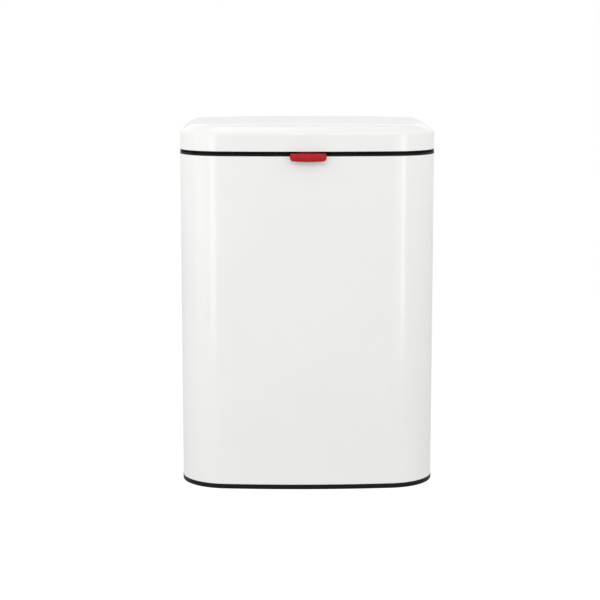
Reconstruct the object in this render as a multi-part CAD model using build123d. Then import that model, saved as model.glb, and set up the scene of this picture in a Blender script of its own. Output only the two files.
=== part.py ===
"""Wall-hung waste bin: sheet-steel body and lid, moulded collar and base, latch, inner bucket and wall bracket.

The model is drawn with X across the bin, Y towards the wall with 0 at the bin's back panel, and Z up from
the bin's underside. Each solid is then moved so that the origin lies midway between the bracket's screw
holes, in the plane of the wall.
"""

import os
from math import atan2, cos, degrees, radians, sqrt, tan

from build123d import *

# Plan of the bin
WIDTH = 255.0
DEPTH = 184.0
FRONT_RADIUS = 845.0
FRONT_CORNER = 48.0
REAR_CORNER = 22.0
LEAST_CORNER = 14.0

# Wall thicknesses and clearances
SHEET = 0.8
WALL = 2.0
SLIP = 0.2
PIN_SLACK = 0.05
SIDE_SLACK = 0.5

# Heights of the stack, from the underside up
BASE_RING = 5.0
BODY_HEIGHT = 329.8
FLANGE = 2.5
LID_GAP = 1.0
LIP = 1.2
SKIRT = 17.7
SHOULDER_RISE = 7.6
SHOULDER_RUN = 11.6
CROWN = 1.8
CROWN_FILLET = 18.0
CREASE_FILLET = 3.6

# Base
BASE_PROUD = 0.2
BASE_EDGE = 1.0
BASE_WALL = 3.0
FLOOR_RECESS = 3.0
SPIGOT_DEPTH = 16.0
RIB = 1.6
RIB_PITCH = 40.0
RIB_SHORT = 0.7

# Collar
COLLAR_PROUD = 0.1
COLLAR_EDGE = 0.8
WELL_INSET = 8.0
REAR_SHELF = 22.0
WELL_DEPTH = 7.0
LEDGE = 6.0

# Back panel
SEAM_WIDTH = 12.0
SEAM_SLACK = 1.5
SEAM_LINE = 0.5
SEAM_LINE_DEPTH = 0.3

# Bucket
RIM_GAP = 1.0
RIM_THICK = 2.5
RIM_WIDTH = 6.0
RIM_EDGE = 1.0
BUCKET_CLEAR = 9.8
BUCKET_WALL = 1.8
BUCKET_TAPER = 1.0
BUCKET_FOOT = 3.0
BUCKET_FILLET = 8.0
FOOT_RING = 3.0
GRIP_LENGTH = 80.0
GRIP_HEIGHT = 20.0
GRIP_DROP = 14.0

# Hinge
PIVOT_IN = 6.0
PIVOT_RISE = 11.3
ROD_RADIUS = 2.0
BARREL_RADIUS = 5.0
BLOCK_HALF = 55.0
BLOCK_SLACK = 2.0
BLOCK_PITCH = 17.5
BLOCK_FLARE = 6.0
BLOCK_WAIST = 1.0
BLOCK_WAIST_RISE = 6.0
BLOCK_HEEL = 2.5
BLOCK_HEEL_RISE = 2.0
POCKET = 4.0
KNUCKLE = 10.0
KNUCKLE_GAP = 0.6
CAP_RADIUS = 4.0
CAP_THICK = 2.5
CAP_SLACK = 0.6

# Lid frame and seal
FRAME_WIDTH = 9.5
FRAME_RISE = 13.6
FRAME_WALL_RISE = 6.0
BAR = 3.0
BAR_Y = -16.0
SEAL_INSET = 4.5
SEAL_WIDTH = 3.0
SEAL_THICK = 1.8
GROOVE_DEPTH = 1.2

# Latch
TAB_WIDTH = 37.4
TAB_FLARE = 1.5
TAB_BOW = 1.0
TAB_REACH = 8.0
TAB_DROP = 7.8
TAB_GAP = 1.8
TAB_CORNER = 5.0
TAB_FRONT_CORNER = 3.4
TAB_WALL = 2.0
TAB_SLOPE = 4.2
TAB_ROOT = 3.0
TAB_BACK_GAP = 1.2
TAB_CREST = 2.5
NOSE_ROUND = 2.6
NECK_THICK = 2.2
NECK_SHORT = 0.5
ARM_WIDTH = 20.0
ARM_IN = 5.0
ARM_THICK = 2.2
LATCH_PIVOT_IN = 7.5
LATCH_PIVOT_RISE = 6.8
HUB_RADIUS = 2.8
LATCH_PIN_RADIUS = 1.5
EAR = 3.0
EAR_RADIUS = 3.0
EAR_SLACK = 0.4
NOTCH_SLACK = 2.5
NOSE_DROP = 8.4
NOSE_THICK = 0.8
NOSE_RAMP = 5.0
NOSE_REACH = 2.5
WIRE_RADIUS = 0.6
WIRE_GAP = 0.4
WIRE_LENGTH = 38.0
SPRING_WIDTH = 10.0
SPRING_THICK = 0.3
SPRING_SLACK = 0.05
SPRING_BEND = 1.0
SPRING_RISE = 5.0
SPRING_FALL = 4.0
SPRING_FOOT = 2.0

# Hanging
WALL_GAP = 14.0
PLATE = 2.0
BRACKET_WIDTH = 130.0
BRACKET_HEIGHT = 34.0
BRACKET_CORNER = 6.0
HOLE_SPACING = 100.0
HOLE_RADIUS = 2.6
HOLE_FROM_TOP = 12.0
HOOK_SPACING = 90.0
HOOK_WIDTH = 20.0
HOOK_LIP = 8.0
HOOK_SLACK = 0.5
HOOK_ROOT = 8.0
HOOK_FROM_TOP = 38.5
SLOT_SLACK = 2.0
LIFT = 10.0
BEND = 2.5
STIFFENER = 1.5
STIFFENER_WIDTH = 50.0
STIFFENER_MARGIN = 12.0
STIFFENER_CORNER = 4.0
RIVET_RADIUS = 2.0
RIVET_HEAD_RADIUS = 3.8
RIVET_TAIL_RADIUS = 3.0
RIVET_HEAD = 1.2
RIVET_MARGIN = 6.4
BUFFER_FROM_SIDE = 42.5
BUFFER_Z = 36.0
BUFFER_RADIUS = 10.0
BUFFER_TIP = 8.0
BUFFER_NECK = 4.0
BUFFER_BARB = 5.5
BARB_TAPER = 2.0
BARB_LENGTH = 3.0
SCREW_SPACING = 80.0
BASE_SCREW_SPACING = 110.0
SCREW_RADIUS = 1.7
SCREW_SLACK = 0.5
SCREW_LENGTH = 8.0
SCREW_HEAD_RADIUS = 3.7
SCREW_HEAD = 2.4
SCREW_CROSS = 3.6
SCREW_SLOT = 0.9
BOSS_RADIUS = 4.0

# Levels and places that follow from them
COLLAR_LOW = BASE_RING + BODY_HEIGHT
COLLAR_TOP = COLLAR_LOW + FLANGE
FRAME_LOW = COLLAR_TOP + LID_GAP
LID_LOW = FRAME_LOW + LIP
CREASE = LID_LOW + SKIRT
LID_TOP = CREASE + SHOULDER_RISE + CROWN
LEDGE_TOP = COLLAR_TOP - WELL_DEPTH
PIVOT_Y = -PIVOT_IN
PIVOT_Z = LID_LOW + PIVOT_RISE
FRONT = -DEPTH
LATCH_Y = FRONT + LATCH_PIVOT_IN
LATCH_Z = LID_LOW + LATCH_PIVOT_RISE
NOTCH_HALF = TAB_WIDTH / 2 + NOTCH_SLACK
NOTCH_DEEP = FRAME_WIDTH + NOTCH_SLACK
POCKET_HALF = ARM_WIDTH / 2 + NOTCH_SLACK
BUCKET_HEIGHT = LEDGE_TOP + RIM_THICK - BASE_RING - BUCKET_CLEAR
RIM_INSET = WELL_INSET + WALL + RIM_GAP
RIM_REAR = REAR_SHELF + WALL + RIM_GAP
HOOK_Z = COLLAR_LOW - HOOK_FROM_TOP
BRACKET_TOP = HOOK_Z + BEND + BRACKET_HEIGHT
HOLE_Z = BRACKET_TOP - HOLE_FROM_TOP
SCREW_Z = COLLAR_LOW - SPIGOT_DEPTH / 2
BASE_SCREW_Z = BASE_RING + SPIGOT_DEPTH / 2
SLOT_MIDDLE = HOOK_Z - (PLATE + LIFT) / 2
BUFFER_X = WIDTH / 2 - BUFFER_FROM_SIDE
FAR = 500.0
THROUGH = 5.0
PAST = 1.0


def plan(inset, z, rear=None):
    """Face of the D-shaped plan at height z, drawn in by inset, or by rear along the back."""
    rear = inset if rear is None else rear
    half = WIDTH / 2 - inset
    arc_y = FRONT_RADIUS - DEPTH
    corner_x = WIDTH / 2 - FRONT_CORNER
    corner_y = arc_y - sqrt((FRONT_RADIUS - FRONT_CORNER) ** 2 - corner_x**2)
    swing = degrees(atan2(corner_x, arc_y - corner_y))
    back = max(REAR_CORNER - inset, LEAST_CORNER)
    edges = [
        CenterArc((0, arc_y), FRONT_RADIUS - inset, 270 - swing, 2 * swing),
        CenterArc((corner_x, corner_y), FRONT_CORNER - inset, 270 + swing, 90 - swing),
        Line((half, corner_y), (half, -rear - back)),
        CenterArc((half - back, -rear - back), back, 0, 90),
        Line((half - back, -rear), (back - half, -rear)),
        CenterArc((back - half, -rear - back), back, 90, 90),
        Line((-half, -rear - back), (-half, corner_y)),
        CenterArc((-corner_x, corner_y), FRONT_CORNER - inset, 180, 90 - swing),
    ]
    return Pos(0, 0, z) * make_face(edges)


def prism(inset, low, high, rear=None):
    """Solid plan between two heights."""
    return extrude(plan(inset, low, rear), high - low, dir=(0, 0, 1))


def band(outer, inner, low, high, outer_rear=None, inner_rear=None):
    """Wall that follows the plan between two insets."""
    return prism(outer, low, high, outer_rear) - prism(inner, low - PAST, high + PAST, inner_rear)


def box(x0, x1, y0, y1, z0, z1):
    """Block between two corners."""
    middle = Pos((x0 + x1) / 2, (y0 + y1) / 2, (z0 + z1) / 2)
    return middle * Box(x1 - x0, y1 - y0, z1 - z0)


def across(points, x0, x1, rounding=None):
    """Side profile of (y, z) points, run along X. rounding maps a point's number to its radius."""
    face = make_face(Polyline(*points, close=True))
    for number, radius in (rounding or {}).items():
        corner = min(face.vertices(), key=lambda v: (Vector(v) - Vector(*points[number])).length)
        face = fillet(corner, radius)
    return Pos(x0, 0, 0) * extrude(Plane.YZ * face, x1 - x0, dir=(1, 0, 0))


def rod_x(radius, x0, x1, y, z):
    """Round bar along X."""
    return Pos((x0 + x1) / 2, y, z) * Rot(0, 90, 0) * Cylinder(radius, x1 - x0)


def rod_y(radius, y0, y1, x, z):
    """Round bar along Y."""
    return Pos(x, (y0 + y1) / 2, z) * Rot(90, 0, 0) * Cylinder(radius, y1 - y0)


def strip(points, thick, bend, x0, x1):
    """Flat strip bent along a path of (y, z) points, run along X."""
    path = FilletPolyline(*points, radius=bend)
    return Pos(x0, 0, 0) * extrude(Plane.YZ * trace(path, thick), x1 - x0, dir=(1, 0, 0))


def lid_form(inset):
    """Closed form of the lid, drawn in by inset on its side, shoulder and crown."""
    slope = atan2(SHOULDER_RISE, SHOULDER_RUN)
    crease = CREASE - inset * (1 / cos(slope) - tan(slope))
    reach = WIDTH / 2 - SHOULDER_RUN
    ball = (reach**2 + CROWN**2) / (2 * CROWN)
    skirt = prism(inset, LID_LOW - inset, crease)
    shoulder = extrude(plan(inset, crease), SHOULDER_RISE + 2 * CROWN, taper=90 - degrees(slope))
    dome = Pos(0, -DEPTH / 2, LID_TOP - ball) * Sphere(ball - inset)
    form = (skirt + shoulder) & dome
    top = form.faces().sort_by(Axis.Z)[-1]
    form = fillet(top.edges(), CROWN_FILLET - inset)
    bend = form.edges().filter_by_position(Axis.Z, crease - 0.01, crease + 0.01)
    return fillet(bend, CREASE_FILLET - inset)


def lid_shell():
    """Pressed lid, cut out at the back round the hinge block."""
    shell = lid_form(0) - lid_form(SHEET)
    half = BLOCK_HALF + BLOCK_SLACK
    return shell - box(-half, half, -PIVOT_IN, PAST, LID_LOW - PAST, CREASE)


def lid_frame():
    """Moulded ring inside the lid with hinge knuckles, a bar round the hinge block and latch ears."""
    top = FRAME_LOW + WALL
    side = SHEET + SLIP
    ring = band(0, FRAME_WIDTH, FRAME_LOW, LID_LOW) + band(side, FRAME_WIDTH, LID_LOW, top)
    ring += band(side, side + WALL, top, LID_LOW + FRAME_RISE)
    ring += band(FRAME_WIDTH - RIB, FRAME_WIDTH, top, top + FRAME_WALL_RISE)
    ring -= band(SEAL_INSET, SEAL_INSET + SEAL_WIDTH, FRAME_LOW - PAST, FRAME_LOW + GROOVE_DEPTH)
    ring -= box(-FAR, FAR, PAST + SHEET - PIVOT_IN, PAST, FRAME_LOW - PAST, FRAME_LOW + SHEET)
    gap = BLOCK_HALF + KNUCKLE_GAP
    ring -= box(-gap, gap, -2 * FRAME_WIDTH, PAST, FRAME_LOW - PAST, FAR)
    back = FRONT + FRAME_WIDTH + PAST
    ring -= box(-NOTCH_HALF, NOTCH_HALF, FRONT - PAST, back, FRAME_LOW - PAST, top + PAST)
    ring -= box(-NOTCH_HALF, NOTCH_HALF, FRONT + side + WALL, FRONT + NOTCH_DEEP, top, FAR)
    bar_top = top + FRAME_WALL_RISE + 1
    ring += box(-gap - BAR, gap + BAR, BAR_Y - BAR, BAR_Y, top + 1, bar_top)
    groove_top = FRAME_LOW + GROOVE_DEPTH
    front, back = PIVOT_Y - BARREL_RADIUS, PIVOT_Y + BARREL_RADIUS
    foot = [(front + 1, groove_top), (front, PIVOT_Z), (back, PIVOT_Z), (back, groove_top)]
    ears = Part()
    for s in (-1, 1):
        x0, x1 = sorted((s * gap, s * (gap + BAR)))
        ring += box(x0, x1, BAR_Y - BAR, -FRAME_WIDTH + RIB, groove_top, bar_top)
        x0, x1 = sorted((s * gap, s * (gap + KNUCKLE)))
        ears += across(foot, x0, x1)
        ears += rod_x(BARREL_RADIUS, x0, x1, PIVOT_Y, PIVOT_Z)
        near = ARM_WIDTH / 2 + EAR_SLACK
        x0, x1 = sorted((s * near, s * (near + EAR)))
        ears += box(x0, x1, FRONT + side + 1, LATCH_Y, LATCH_Z - EAR_RADIUS, LATCH_Z + EAR_RADIUS)
        ears += rod_x(EAR_RADIUS, x0, x1, LATCH_Y, LATCH_Z)
    frame = ring + ears
    near = gap + KNUCKLE
    for s in (-1, 1):
        x0, x1 = sorted((s * near, s * (near + SIDE_SLACK + CAP_THICK + PAST)))
        frame -= rod_x(CAP_RADIUS + CAP_SLACK, x0, x1, PIVOT_Y, PIVOT_Z)
    frame -= rod_x(ROD_RADIUS + PIN_SLACK, -FAR, FAR, PIVOT_Y, PIVOT_Z)
    return frame - rod_x(LATCH_PIN_RADIUS, -NOTCH_HALF, NOTCH_HALF, LATCH_Y, LATCH_Z)


def lid_seal():
    """Rubber strip in the frame's groove, open at the latch and at the hinge block."""
    low = FRAME_LOW + GROOVE_DEPTH - SEAL_THICK
    strip_ring = band(SEAL_INSET, SEAL_INSET + SEAL_WIDTH, low, FRAME_LOW + GROOVE_DEPTH)
    high = FRAME_LOW + GROOVE_DEPTH + PAST
    strip_ring -= box(-NOTCH_HALF, NOTCH_HALF, FRONT, FRONT + NOTCH_DEEP, low - PAST, high)
    gap = BLOCK_HALF + KNUCKLE_GAP
    return strip_ring - box(-gap, gap, -FRAME_WIDTH, 0, low - PAST, high)


def body_shell():
    """Sheet-steel tube with a lap seam, hanging slots and holes in its back panel."""
    tube = band(0, SHEET, BASE_RING, COLLAR_LOW)
    lap = SEAM_WIDTH / 2
    tube += box(-lap, lap, -2 * SHEET, 0, BASE_RING, COLLAR_LOW)
    tube -= box(lap - SEAM_LINE, lap, -SEAM_LINE_DEPTH, PAST, BASE_RING - PAST, COLLAR_LOW + PAST)
    for s in (-1, 1):
        tube -= slot(s)
        tube -= rod_y(BUFFER_NECK, -THROUGH, PAST, s * BUFFER_X, BUFFER_Z)
        tube -= rod_y(SCREW_RADIUS + SCREW_SLACK, -THROUGH, PAST, s * SCREW_SPACING / 2, SCREW_Z)
        tube -= rod_y(SCREW_RADIUS + SCREW_SLACK, -THROUGH, PAST, s * BASE_SCREW_SPACING / 2, BASE_SCREW_Z)
        for x in rivet_places(s):
            tube -= rod_y(RIVET_RADIUS, -THROUGH, PAST, x, SLOT_MIDDLE)
    return tube


def slot(side):
    """Cut for one hanging slot through the back panel and its stiffener."""
    half = HOOK_WIDTH / 2 + SLOT_SLACK
    x = side * HOOK_SPACING / 2
    return box(x - half, x + half, -SHEET - STIFFENER - PAST, PAST, HOOK_Z - PLATE - LIFT, HOOK_Z)


def rivet_places(side):
    """X of the rivets at either end of a stiffener."""
    reach = STIFFENER_WIDTH / 2 - RIVET_MARGIN
    return side * HOOK_SPACING / 2 - reach, side * HOOK_SPACING / 2 + reach


def hanger_plate(side):
    """Steel plate inside the back panel round one slot."""
    x = side * HOOK_SPACING / 2
    half = STIFFENER_WIDTH / 2
    low = HOOK_Z - PLATE - LIFT - STIFFENER_MARGIN
    plate = box(x - half, x + half, -SHEET - STIFFENER, -SHEET, low, HOOK_Z + STIFFENER_MARGIN)
    plate = fillet(plate.edges().filter_by(Axis.Y), STIFFENER_CORNER)
    plate -= slot(side)
    for rivet_x in rivet_places(side):
        plate -= rod_y(RIVET_RADIUS, -THROUGH, PAST, rivet_x, SLOT_MIDDLE)
    return plate


def plate_rivets():
    """Rivets through the back panel and the stiffeners."""
    rivets = []
    inner = -SHEET - STIFFENER
    for s in (-1, 1):
        for x in rivet_places(s):
            rivet = rod_y(RIVET_RADIUS, inner, 0, x, SLOT_MIDDLE)
            rivet += rod_y(RIVET_HEAD_RADIUS, 0, RIVET_HEAD, x, SLOT_MIDDLE)
            rivet += rod_y(RIVET_TAIL_RADIUS, inner - RIVET_HEAD, inner, x, SLOT_MIDDLE)
            rivets.append(rivet)
    return Compound(rivets)


def wall_buffer(side):
    """Rubber buffer pushed through the back panel, as long as the gap to the wall."""
    profile = Polyline(
        (0, WALL_GAP),
        (BUFFER_TIP, WALL_GAP),
        (BUFFER_RADIUS, 0),
        (BUFFER_NECK, 0),
        (BUFFER_NECK, -SHEET),
        (BUFFER_BARB, -SHEET),
        (BUFFER_BARB - BARB_TAPER, -SHEET - BARB_LENGTH),
        (0, -SHEET - BARB_LENGTH),
        close=True,
    )
    buffer = revolve(make_face(profile), Axis.Y)
    return Pos(side * BUFFER_X, 0, BUFFER_Z) * buffer


def screw_boss(part, x, z):
    """Part with a boss behind the back panel, drilled for a screw."""
    side = SHEET + SLIP
    part += rod_y(BOSS_RADIUS, -side - SCREW_LENGTH, -side - PAST, x, z)
    return part - rod_y(SCREW_RADIUS, -side - SCREW_LENGTH - PAST, 0, x, z)


def base_tray():
    """Moulded base: visible ring, floor with ribs underneath, and a spigot inside the body."""
    ring = prism(-BASE_PROUD, 0, BASE_RING)
    ring = fillet(ring.edges().filter_by_position(Axis.Z, -0.01, 0.01), BASE_EDGE)
    ring -= prism(BASE_WALL, -PAST, FLOOR_RECESS)
    side = SHEET + SLIP
    ring += band(side, side + WALL, BASE_RING - PAST, BASE_RING + SPIGOT_DEPTH)
    lap = SEAM_WIDTH / 2 + SEAM_SLACK
    ring -= box(-lap, lap, -side - WALL, PAST, BASE_RING, FAR)
    for s in (-1, 1):
        ring = screw_boss(ring, s * BASE_SCREW_SPACING / 2, BASE_SCREW_Z)
    ribs = Part()
    columns = int(WIDTH / 2 / RIB_PITCH)
    for i in range(-columns, columns + 1):
        x = i * RIB_PITCH
        ribs += box(x - RIB / 2, x + RIB / 2, -DEPTH, 0, RIB_SHORT, FLOOR_RECESS)
    rows = int(DEPTH / RIB_PITCH)
    for j in range(1, rows + 1):
        y = -j * RIB_PITCH
        ribs += box(-WIDTH / 2, WIDTH / 2, y, y + RIB, RIB_SHORT, FLOOR_RECESS)
    return ring + (ribs & prism(WALL, 0, BASE_RING))


def hinge_block():
    """Raised block on the collar that carries the hinge rod."""
    foot = COLLAR_LOW + FLANGE / 2
    front = PIVOT_Y - BARREL_RADIUS
    back = PIVOT_Y + ROD_RADIUS
    heel = COLLAR_TOP + BLOCK_HEEL_RISE
    neck = [
        (front - BLOCK_FLARE, foot),
        (front - BLOCK_WAIST, COLLAR_TOP + BLOCK_WAIST_RISE),
        (front, PIVOT_Z),
        (back, PIVOT_Z),
        (back, heel + BLOCK_HEEL_RISE),
        (back + BLOCK_HEEL, heel),
        (back + BLOCK_HEEL, foot),
    ]
    block = across(neck, -BLOCK_HALF, BLOCK_HALF)
    return block + rod_x(BARREL_RADIUS, -BLOCK_HALF, BLOCK_HALF, PIVOT_Y, PIVOT_Z)


def block_pockets():
    """Pockets that core the hinge block from below, with a rib between each two."""
    pockets = Part()
    count = int(2 * (BLOCK_HALF - WALL) / BLOCK_PITCH)
    back = PIVOT_Y + ROD_RADIUS - WALL
    top = PIVOT_Z - ROD_RADIUS - WALL
    for i in range(count):
        x = (i + 0.5 - count / 2) * BLOCK_PITCH
        half = (BLOCK_PITCH - WALL) / 2
        pockets += box(x - half, x + half, back - POCKET, back, COLLAR_LOW - PAST, top)
    return pockets


def top_collar():
    """Moulded collar: flange, spigot inside the body, well with the bucket's ledge, and hinge block."""
    side = SHEET + SLIP
    flange = prism(-COLLAR_PROUD, COLLAR_LOW, COLLAR_TOP)
    flange = fillet(flange.faces().sort_by(Axis.Z)[-1].edges(), COLLAR_EDGE)
    well = WELL_INSET + WALL
    flange -= prism(well, COLLAR_LOW - PAST, COLLAR_TOP + PAST, REAR_SHELF + WALL)
    spigot = band(side, side + WALL, COLLAR_LOW - SPIGOT_DEPTH, COLLAR_LOW + PAST)
    low = LEDGE_TOP - WALL
    wall = band(WELL_INSET, well, low, COLLAR_LOW + PAST, REAR_SHELF, REAR_SHELF + WALL)
    ledge = band(WELL_INSET, well + LEDGE, low, LEDGE_TOP, REAR_SHELF, REAR_SHELF + WALL + LEDGE)
    collar = flange + spigot + wall + ledge
    lap = SEAM_WIDTH / 2 + SEAM_SLACK
    collar -= box(-lap, lap, -side - WALL, -side + PAST, 0, COLLAR_LOW)
    for s in (-1, 1):
        collar = screw_boss(collar, s * SCREW_SPACING / 2, SCREW_Z)
    notch_back = FRONT + side + WALL + PAST
    collar -= box(-NOTCH_HALF, NOTCH_HALF, FRONT - 2, notch_back, COLLAR_LOW, COLLAR_TOP + PAST)
    front = FRONT + SHEET
    back = FRONT + well + PAST
    collar -= box(-POCKET_HALF, POCKET_HALF, front, back, low - PAST, COLLAR_TOP + PAST)
    spigot_low = COLLAR_LOW - SPIGOT_DEPTH - PAST
    collar -= box(-POCKET_HALF, POCKET_HALF, front, notch_back, spigot_low, COLLAR_TOP + PAST)
    collar -= rod_x(WIRE_RADIUS, -WIRE_LENGTH / 2, WIRE_LENGTH / 2, wire_y(), wire_z())
    collar = collar + hinge_block() - block_pockets()
    return collar - rod_x(ROD_RADIUS, -FAR, FAR, PIVOT_Y, PIVOT_Z)


def wire_y():
    """Place of the catch wire from front to back, in the middle of the well's front wall."""
    return FRONT + WELL_INSET + WALL / 2


def wire_z():
    """Height of the catch wire, just over the hook's nose."""
    return LID_LOW - NOSE_DROP + WIRE_GAP + WIRE_RADIUS


def catch_wire():
    """Spring wire across the collar's pocket."""
    return rod_x(WIRE_RADIUS, -WIRE_LENGTH / 2, WIRE_LENGTH / 2, wire_y(), wire_z())


def panel_screws(spacing, z):
    """Pair of pan-head screws through the back panel into the moulding behind it."""
    screws = []
    for s in (-1, 1):
        x = s * spacing / 2
        screw = rod_y(SCREW_RADIUS, PAST - SHEET - SCREW_LENGTH, SCREW_HEAD / 4, x, z)
        head = rod_y(SCREW_HEAD_RADIUS, 0, SCREW_HEAD, x, z)
        head = fillet(head.faces().sort_by(Axis.Y)[-1].edges(), SCREW_HEAD / 2)
        cross = Plane.XZ * (Rectangle(SCREW_CROSS, SCREW_SLOT) + Rectangle(SCREW_SLOT, SCREW_CROSS))
        head -= Pos(x, SCREW_HEAD, z) * extrude(cross, SCREW_HEAD / 2, both=True)
        screws.append(screw + head)
    return Compound(screws)


def hinge_rod():
    """Steel rod through the collar's block and the lid's knuckles."""
    half = BLOCK_HALF + KNUCKLE_GAP + KNUCKLE + SIDE_SLACK + CAP_THICK
    return rod_x(ROD_RADIUS, -half, half, PIVOT_Y, PIVOT_Z)


def rod_caps():
    """Push-on caps at the rod's ends."""
    caps = []
    near = BLOCK_HALF + KNUCKLE_GAP + KNUCKLE + SIDE_SLACK
    for s in (-1, 1):
        x0, x1 = sorted((s * near, s * (near + CAP_THICK)))
        cap = rod_x(CAP_RADIUS, x0, x1, PIVOT_Y, PIVOT_Z)
        caps.append(cap - rod_x(ROD_RADIUS, x0, x1, PIVOT_Y, PIVOT_Z))
    return Compound(caps)


def tab_form(inset):
    """Closed form of the finger tab, rounded in side view, plan and front view, or of the hollow inside it."""
    top = LID_LOW - TAB_GAP - (NECK_THICK if inset else 0)
    low = FRONT - TAB_REACH + inset
    back = FRONT - TAB_BACK_GAP if inset else FRONT + TAB_ROOT
    bottom = LID_LOW - TAB_GAP - TAB_DROP - inset
    half = TAB_WIDTH / 2 - inset
    crest = FRONT - TAB_CREST
    profile = [(back, top), (crest, top), (low, top - TAB_SLOPE), (low, bottom), (back, bottom)]
    rounding = {2: NOSE_ROUND - inset} if inset else {1: 2 * TAB_CREST, 2: NOSE_ROUND}
    form = across(profile, -half, half, rounding)
    face = Rectangle(2 * half, back - low, align=(Align.CENTER, Align.MIN))
    face = fillet(face.vertices().sort_by(Axis.Y)[:2], TAB_CORNER - inset)
    form &= Pos(0, low, bottom) * extrude(face, top - bottom)
    rise = top - bottom
    edge = [
        Line((TAB_FLARE - half, rise), (-half, TAB_BOW)),
        ThreePointArc((-half, TAB_BOW), (0, 0), (half, TAB_BOW)),
        Line((half, TAB_BOW), (half - TAB_FLARE, rise)),
        Line((half - TAB_FLARE, rise), (TAB_FLARE - half, rise)),
    ]
    front = make_face(edge)
    if not inset:
        front = fillet(front.vertices().sort_by(Axis.Y)[:2], TAB_FRONT_CORNER)
    return form & Pos(0, low, bottom) * extrude(Plane.XZ * front, back - low, dir=(0, 1, 0))


def latch_lever():
    """Red lever: finger tab in front, neck under the lid's edge, hub on the pin and hook below."""
    top = LID_LOW - TAB_GAP
    under = top - NECK_THICK
    tab = tab_form(0) - tab_form(TAB_WALL)
    side = TAB_WIDTH / 2 + PAST
    low = top - TAB_DROP - PAST
    tab -= box(-side, side, FRONT - TAB_BACK_GAP, FRONT + TAB_ROOT + PAST, low, under)
    half = ARM_WIDTH / 2
    near = FRONT + ARM_IN
    far = near + ARM_THICK
    tip = LID_LOW - NOSE_DROP
    arm = across(
        [
            (FRONT + NECK_SHORT, top),
            (FRONT + NECK_SHORT, under),
            (near, under),
            (near, tip - NOSE_RAMP),
            (far, tip - NOSE_RAMP),
            (far + NOSE_REACH, tip - NOSE_THICK),
            (far + NOSE_REACH, tip),
            (far, tip),
            (far, LATCH_Z),
            (near, LATCH_Z),
            (near, top),
        ],
        -half,
        half,
    )
    lever = tab + arm + rod_x(HUB_RADIUS, -half, half, LATCH_Y, LATCH_Z)
    return lever - rod_x(LATCH_PIN_RADIUS + PIN_SLACK, -FAR, FAR, LATCH_Y, LATCH_Z)


def latch_pin():
    """Pin through the frame's ears and the lever's hub."""
    half = ARM_WIDTH / 2 + EAR_SLACK + EAR
    return rod_x(LATCH_PIN_RADIUS, -half, half, LATCH_Y, LATCH_Z)


def latch_spring():
    """Leaf spring between the frame and the lever's arm."""
    clear = SPRING_SLACK + SPRING_THICK / 2
    start = FRONT + SHEET + SLIP + WALL + clear
    end = FRONT + ARM_IN - clear
    fall = LATCH_Z - SPRING_FALL
    points = [(start, LATCH_Z + SPRING_RISE), (start, LATCH_Z), (end, fall), (end, fall - SPRING_FOOT)]
    return strip(points, SPRING_THICK, SPRING_BEND, -SPRING_WIDTH / 2, SPRING_WIDTH / 2)


def bucket():
    """Tapered bucket with a rim that rests on the collar's ledge, a foot ring and two grip holes."""
    rim_top = LEDGE_TOP + RIM_THICK
    inset = RIM_INSET + RIM_WIDTH
    rear = RIM_REAR + RIM_WIDTH
    outside = extrude(plan(inset, rim_top, rear), BUCKET_HEIGHT, dir=(0, 0, -1), taper=BUCKET_TAPER)
    outside = fillet(outside.faces().sort_by(Axis.Z)[0].edges(), BUCKET_FILLET)
    depth = BUCKET_HEIGHT - BUCKET_WALL - BUCKET_FOOT
    hollow = plan(inset + BUCKET_WALL, rim_top, rear + BUCKET_WALL)
    inside = extrude(hollow, depth, dir=(0, 0, -1), taper=BUCKET_TAPER)
    inside = fillet(inside.faces().sort_by(Axis.Z)[0].edges(), BUCKET_FILLET - BUCKET_WALL)
    flange = prism(RIM_INSET, LEDGE_TOP, rim_top, RIM_REAR)
    flange = fillet(flange.faces().sort_by(Axis.Z)[-1].edges(), RIM_EDGE)
    shell = outside + flange - inside
    foot = rim_top - BUCKET_HEIGHT
    shrink = BUCKET_HEIGHT * tan(radians(BUCKET_TAPER)) + BUCKET_FILLET + FOOT_RING
    shell -= prism(inset + shrink, foot - PAST, foot + BUCKET_FOOT, rear + shrink)
    grip = Pos(0, 0, rim_top - GRIP_DROP - GRIP_HEIGHT / 2)
    cut = SlotOverall(GRIP_LENGTH, GRIP_HEIGHT)
    bar = extrude(Plane.YZ * cut, WIDTH, both=True)
    return shell - Pos(0, -DEPTH / 2, 0) * grip * bar


def wall_bracket():
    """Steel plate screwed to the wall, with two hooks bent up at its lower edge."""
    low = HOOK_Z + BEND
    half = BRACKET_WIDTH / 2
    plate = box(-half, half, WALL_GAP - PLATE, WALL_GAP, low, BRACKET_TOP)
    plate = fillet(plate.edges().filter_by(Axis.Y), BRACKET_CORNER)
    middle = HOOK_Z - PLATE / 2
    lip = -SHEET - STIFFENER - HOOK_SLACK - BEND
    wall = WALL_GAP - PLATE / 2
    path = [(wall, low + HOOK_ROOT), (wall, middle), (lip, middle), (lip, HOOK_Z + HOOK_LIP)]
    for s in (-1, 1):
        x = s * HOOK_SPACING / 2
        plate += strip(path, PLATE, BEND, x - HOOK_WIDTH / 2, x + HOOK_WIDTH / 2)
        plate -= rod_y(HOLE_RADIUS, 0, WALL_GAP + PAST, s * HOLE_SPACING / 2, HOLE_Z)
    return plate


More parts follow.
